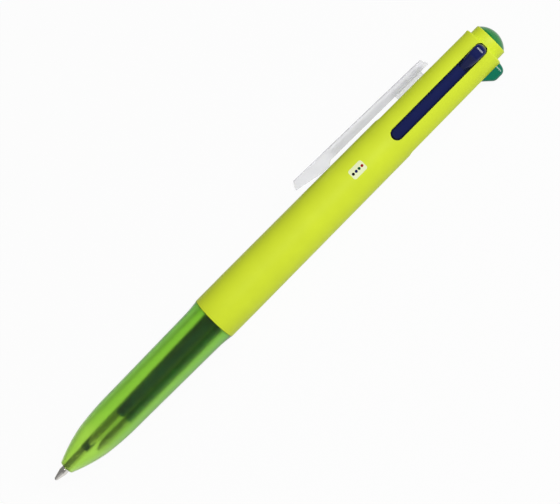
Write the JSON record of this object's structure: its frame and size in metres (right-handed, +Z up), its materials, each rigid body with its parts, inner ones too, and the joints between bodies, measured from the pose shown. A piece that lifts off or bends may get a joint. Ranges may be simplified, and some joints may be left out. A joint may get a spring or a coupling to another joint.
{
  "type": "multicolor click pen",
  "caption": "Slim ballpoint with four sliding colour selectors, one of them the clear pocket clip, a frosted see-through grip, a slotted barrel and a domed end.",
  "frame": {"origin": "on the desk, under the middle of the pen's box: the pen lies level on its green and red knobs", "axes": "+X along the pen from the writing tip to the domed end, +Z up, clip slot facing +Y and +Z, blue slot facing -Y and +Z"},
  "size_m": [0.145, 0.0142, 0.0142],
  "materials": {
    "lime_plastic": "satin",
    "emerald_clear": "gloss",
    "white_plastic": "matte",
    "frosted_green": "matte",
    "clear_plastic": "gloss",
    "blue_plastic": "satin",
    "green_plastic": "gloss",
    "red_plastic": "gloss",
    "refill_tube": "satin",
    "nickel_steel": "polished",
    "ball_carbide": "polished",
    "spring_steel": "bright",
    "black_ink": "wet",
    "blue_ink": "wet",
    "green_ink": "wet",
    "red_ink": "wet"
  },
  "bodies": {
    "barrel": {"upper_barrel": "lime_plastic", "slide_core": "lime_plastic", "end_dome": "emerald_clear", "spring_guide": "white_plastic", "black_spring": "spring_steel", "blue_spring": "spring_steel", "green_spring": "spring_steel", "red_spring": "spring_steel"},
    "front_grip": {"front_grip": "frosted_green"},
    "blue_slider": {"blue_slider": "blue_plastic", "blue_refill_tube": "refill_tube", "blue_tip": "nickel_steel", "blue_ball": "ball_carbide", "blue_ink": "blue_ink"},
    "red_slider": {"red_slider": "red_plastic", "red_refill_tube": "refill_tube", "red_tip": "nickel_steel", "red_ball": "ball_carbide", "red_ink": "red_ink"},
    "green_slider": {"green_slider": "green_plastic"},
    "green_refill": {"green_refill_tube": "refill_tube", "green_tip": "nickel_steel", "green_ball": "ball_carbide", "green_ink": "green_ink"},
    "black_slider": {"black_slider": "clear_plastic"},
    "black_refill": {"black_refill_tube": "refill_tube", "black_tip": "nickel_steel", "black_ball": "ball_carbide", "black_ink": "black_ink"},
    "clip": {"clip": "clear_plastic"}
  },
  "joints": [
    {"name": "green_slide", "type": "slide", "parent": "barrel", "child": "green_slider", "axis": [-1, 0, 0], "range_m": [0, 0.012], "stiffness_N_per_m": 40, "springref_m": -0.008, "deforming": ["green_spring"]},
    {"name": "green_lean", "type": "hinge", "parent": "green_slider", "child": "green_refill", "pos_m": [0.03606, -0.00253, 0.00455], "axis": [0, 0.7071, -0.7071], "range_deg": [0, 1.47]},
    {"name": "clip_slide", "type": "slide", "parent": "barrel", "child": "black_slider", "axis": [1, 0, 0], "range_m": [0, 0.012], "deforming": ["black_spring"]},
    {"name": "black_lean", "type": "hinge", "parent": "black_slider", "child": "black_refill", "pos_m": [0.02406, 0.00072, 0.0078], "axis": [0, 0.7071, -0.7071], "range_deg": [0, 1.47]},
    {"name": "clip_flex", "type": "hinge", "parent": "black_slider", "child": "clip", "pos_m": [0.05306, 0.00401, 0.01109], "axis": [0, 0.7071, -0.7071], "range_deg": [0, 6], "stiffness_Nm_per_rad": 0.3, "springref_deg": -2.86},
    {"name": "blue_slide", "type": "slide", "parent": "barrel", "child": "blue_slider", "axis": [-1, 0, 0], "range_m": [0, 0.003], "stiffness_N_per_m": 40, "springref_m": -0.008, "deforming": ["blue_spring"]},
    {"name": "red_slide", "type": "slide", "parent": "barrel", "child": "red_slider", "axis": [-1, 0, 0], "range_m": [0, 0.003], "stiffness_N_per_m": 40, "springref_m": -0.008, "deforming": ["red_spring"]},
    {"name": "grip_pull", "type": "slide", "parent": "barrel", "child": "front_grip", "axis": [-1, 0, 0], "range_m": [0, 0.066]}
  ],
  "couplings": [
    {"joint": "clip_slide", "follows": "green_slide", "ratio": 1},
    {"joint": "green_lean", "follows": "green_slide", "rad_per_m": 2.1369},
    {"joint": "black_lean", "follows": "green_slide", "rad_per_m": 2.1369}
  ]
}
